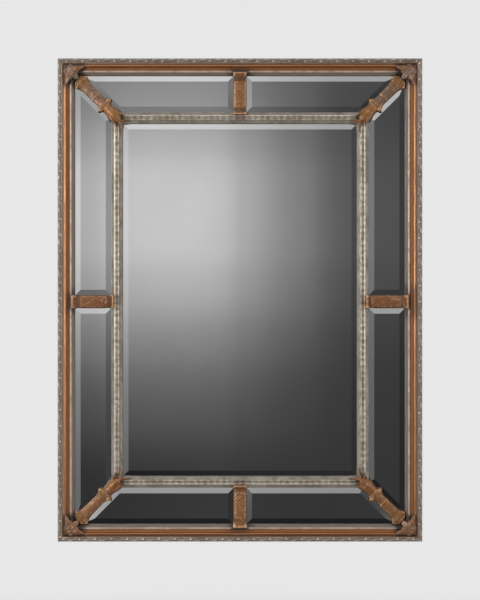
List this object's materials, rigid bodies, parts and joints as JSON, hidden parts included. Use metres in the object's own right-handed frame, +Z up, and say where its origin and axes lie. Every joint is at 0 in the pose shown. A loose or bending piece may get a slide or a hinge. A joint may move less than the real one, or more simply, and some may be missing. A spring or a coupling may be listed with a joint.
{
  "type": "framed wall mirror",
  "caption": "Rectangular wall mirror: bevelled centre pane, inner moulding, bevelled border panes with cast straps, carved and gilded outer moulding, hanging rings behind.",
  "frame": {"origin": "centre of the backing board's rear face, in the frame's back plane", "axes": "+Z up the mirror, +X to the viewer's right, the front faces -Y and the wall is on the +Y side"},
  "size_m": [0.94, 0.0433, 1.245],
  "materials": {
    "copper_rail": "gilded wood moulding with a copper leaf roll and a brown glazed cove",
    "leaf_edge": "pressed leaf ornament in aged champagne silver leaf",
    "silver_slip": "smooth bead in warm silver leaf",
    "inner_rail": "silver leafed moulding with a grey patina",
    "inner_leaf_band": "pressed ornament in light silver leaf with dark wax in its hollows",
    "bronze_strap": "cast, with an aged bronze and copper patina",
    "bronze_leaf": "cast, with an aged bronze patina and dark hollows",
    "mirror_glass": "clear silvered glass with a ground and polished bevel",
    "backing_board": "plain brown fibreboard",
    "zinc_screw": "zinc plated steel",
    "hanger_steel": "nickel plated steel",
    "pad_felt": "dense dark grey felt"
  },
  "bodies": {
    "root": {"backing_board": "backing_board", "board_screws": "zinc_screw", "border_pane_bottom_left": "mirror_glass", "border_pane_bottom_right": "mirror_glass", "border_pane_left_lower": "mirror_glass", "border_pane_left_upper": "mirror_glass", "border_pane_right_lower": "mirror_glass", "border_pane_right_upper": "mirror_glass", "border_pane_top_left": "mirror_glass", "border_pane_top_right": "mirror_glass", "centre_pane": "mirror_glass", "corner_leaf_bottom_left": "bronze_leaf", "corner_leaf_bottom_right": "bronze_leaf", "corner_leaf_top_left": "bronze_leaf", "corner_leaf_top_right": "bronze_leaf", "corner_strap_bottom_left": "bronze_strap", "corner_strap_bottom_right": "bronze_strap", "corner_strap_top_left": "bronze_strap", "corner_strap_top_right": "bronze_strap", "cross_strap_bottom": "bronze_strap", "cross_strap_left": "bronze_strap", "cross_strap_right": "bronze_strap", "cross_strap_top": "bronze_strap", "hanger_plate_left": "hanger_steel", "hanger_plate_right": "hanger_steel", "hanger_screws": "zinc_screw", "inner_leaf_band_bottom": "inner_leaf_band", "inner_leaf_band_left": "inner_leaf_band", "inner_leaf_band_right": "inner_leaf_band", "inner_leaf_band_top": "inner_leaf_band", "inner_rail_bottom": "inner_rail", "inner_rail_left": "inner_rail", "inner_rail_right": "inner_rail", "inner_rail_screws": "zinc_screw", "inner_rail_top": "inner_rail", "leaf_edge_bottom": "leaf_edge", "leaf_edge_left": "leaf_edge", "leaf_edge_right": "leaf_edge", "leaf_edge_top": "leaf_edge", "mitre_v_nails": "zinc_screw", "outer_rail_bottom": "copper_rail", "outer_rail_left": "copper_rail", "outer_rail_right": "copper_rail", "outer_rail_top": "copper_rail", "silver_slip_bottom": "silver_slip", "silver_slip_left": "silver_slip", "silver_slip_right": "silver_slip", "silver_slip_top": "silver_slip", "strap_screws": "zinc_screw", "wall_pads": "pad_felt"},
    "ring_left": {"hanger_ring_left": "hanger_steel"},
    "ring_right": {"hanger_ring_right": "hanger_steel"}
  },
  "joints": [
    {"name": "ring_left_swing", "type": "hinge", "parent": "root", "child": "ring_left", "pos_m": [-0.454, 0.00335, 0.33], "axis": [-1, 0, 0], "range_deg": [0, 180]},
    {"name": "ring_right_swing", "type": "hinge", "parent": "root", "child": "ring_right", "pos_m": [0.454, 0.00335, 0.33], "axis": [-1, 0, 0], "range_deg": [0, 180]}
  ]
}
